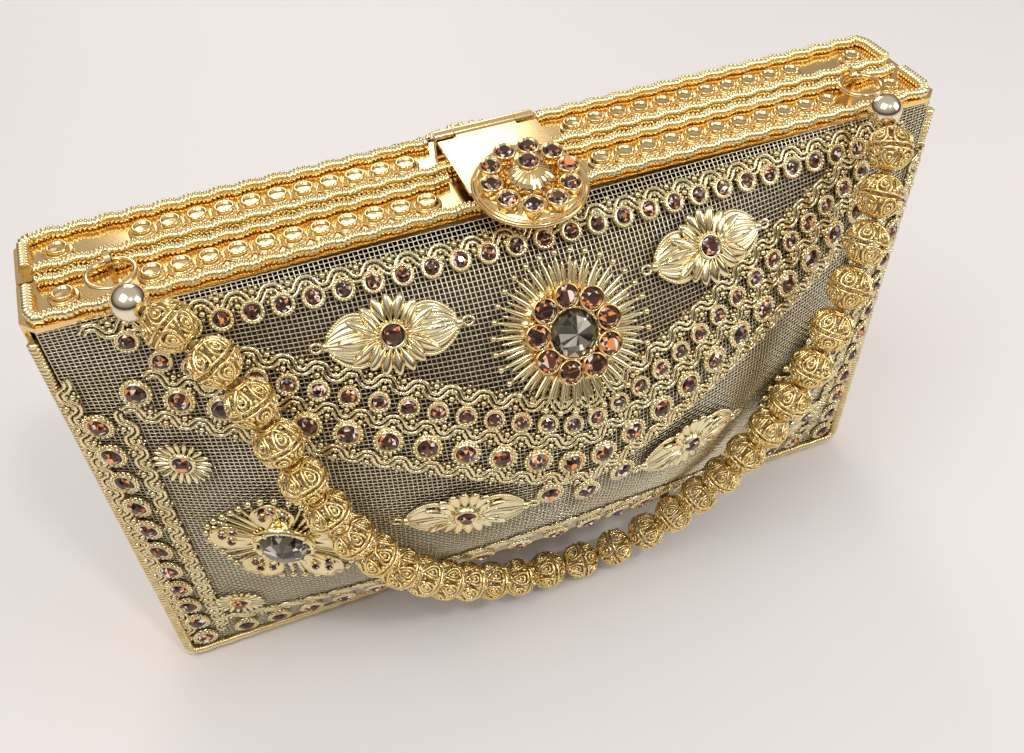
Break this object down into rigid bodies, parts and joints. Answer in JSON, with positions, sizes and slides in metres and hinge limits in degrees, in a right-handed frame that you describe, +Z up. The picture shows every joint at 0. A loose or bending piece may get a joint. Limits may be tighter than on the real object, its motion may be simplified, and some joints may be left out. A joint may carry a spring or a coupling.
{
  "type": "evening bag",
  "caption": "Rigid clam-shell evening bag of gilt wire mesh with crystal trim, a bottom hinge, a flap clasp and a swinging bead-strand handle.",
  "frame": {"origin": "centre of the footprint on the surface the closed bag stands on", "axes": "+X along the length, -Y to the front with the clasp flap and the bead strand, +Z up"},
  "size_m": [0.22, 0.1036, 0.142],
  "materials": {
    "gilt_polished": "gloss",
    "gilt_filigree": "gloss",
    "gilt_mesh": "satin",
    "gimp_cord": "satin",
    "steel": "satin",
    "topaz_crystal": "gloss",
    "smoky_crystal": "gloss",
    "lining": "matte",
    "bead_string": "satin"
  },
  "bodies": {
    "back_half": {"back_accent_stones": "topaz_crystal", "back_big_rosette_stones": "smoky_crystal", "back_big_rosettes": "gilt_filigree", "back_border_cords": "gimp_cord", "back_butterflies": "gilt_filigree", "back_edge_cord": "gimp_cord", "back_foot_band": "gilt_polished", "back_hinge_knuckles": "gilt_polished", "back_large_settings": "gilt_filigree", "back_large_stones": "topaz_crystal", "back_lining": "lining", "back_mesh_panel": "gilt_mesh", "back_rail_discs": "gilt_polished", "back_rosette_heart": "smoky_crystal", "back_rosette_rays": "gilt_filigree", "back_rosette_stones": "topaz_crystal", "back_seam_cord": "gimp_cord", "back_side_bands": "gilt_polished", "back_small_settings": "gilt_filigree", "back_small_stones": "topaz_crystal", "back_sunbursts": "gilt_filigree", "back_top_rail": "gilt_polished", "clasp_bracket": "gilt_polished", "clasp_pin": "steel", "hinge_pin": "steel"},
    "front_half": {"clasp_keeper": "steel", "front_accent_stones": "topaz_crystal", "front_big_rosette_stones": "smoky_crystal", "front_big_rosettes": "gilt_filigree", "front_border_cords": "gimp_cord", "front_butterflies": "gilt_filigree", "front_edge_cord": "gimp_cord", "front_foot_band": "gilt_polished", "front_hinge_knuckles": "gilt_polished", "front_large_settings": "gilt_filigree", "front_large_stones": "topaz_crystal", "front_lining": "lining", "front_mesh_panel": "gilt_mesh", "front_rail_discs": "gilt_polished", "front_rosette_heart": "smoky_crystal", "front_rosette_rays": "gilt_filigree", "front_rosette_stones": "topaz_crystal", "front_seam_cord": "gimp_cord", "front_side_bands": "gilt_polished", "front_small_settings": "gilt_filigree", "front_small_stones": "topaz_crystal", "front_sunbursts": "gilt_filigree", "front_top_rail": "gilt_polished", "handle_lugs": "gilt_polished"},
    "clasp_flap": {"clasp_disc": "gilt_polished", "clasp_dome": "gilt_polished", "clasp_magnet": "steel", "clasp_settings": "gilt_polished", "clasp_stones": "topaz_crystal", "clasp_strap": "gilt_polished"},
    "handle": {"handle_balls": "gilt_polished", "handle_beads": "gilt_filigree", "handle_rings": "gilt_polished", "handle_string": "bead_string"}
  },
  "joints": [
    {"name": "half_hinge", "type": "hinge", "parent": "back_half", "child": "front_half", "pos_m": [0, 0, 0.0026], "axis": [1, 0, 0], "range_deg": [0, 50]},
    {"name": "clasp_hinge", "type": "hinge", "parent": "back_half", "child": "clasp_flap", "pos_m": [0, 0.0132, 0.1349], "axis": [-1, 0, 0], "range_deg": [0, 110]},
    {"name": "handle_swing", "type": "hinge", "parent": "front_half", "child": "handle", "pos_m": [0, -0.0056, 0.1364], "axis": [-1, 0, 0], "range_deg": [0, 165]}
  ]
}
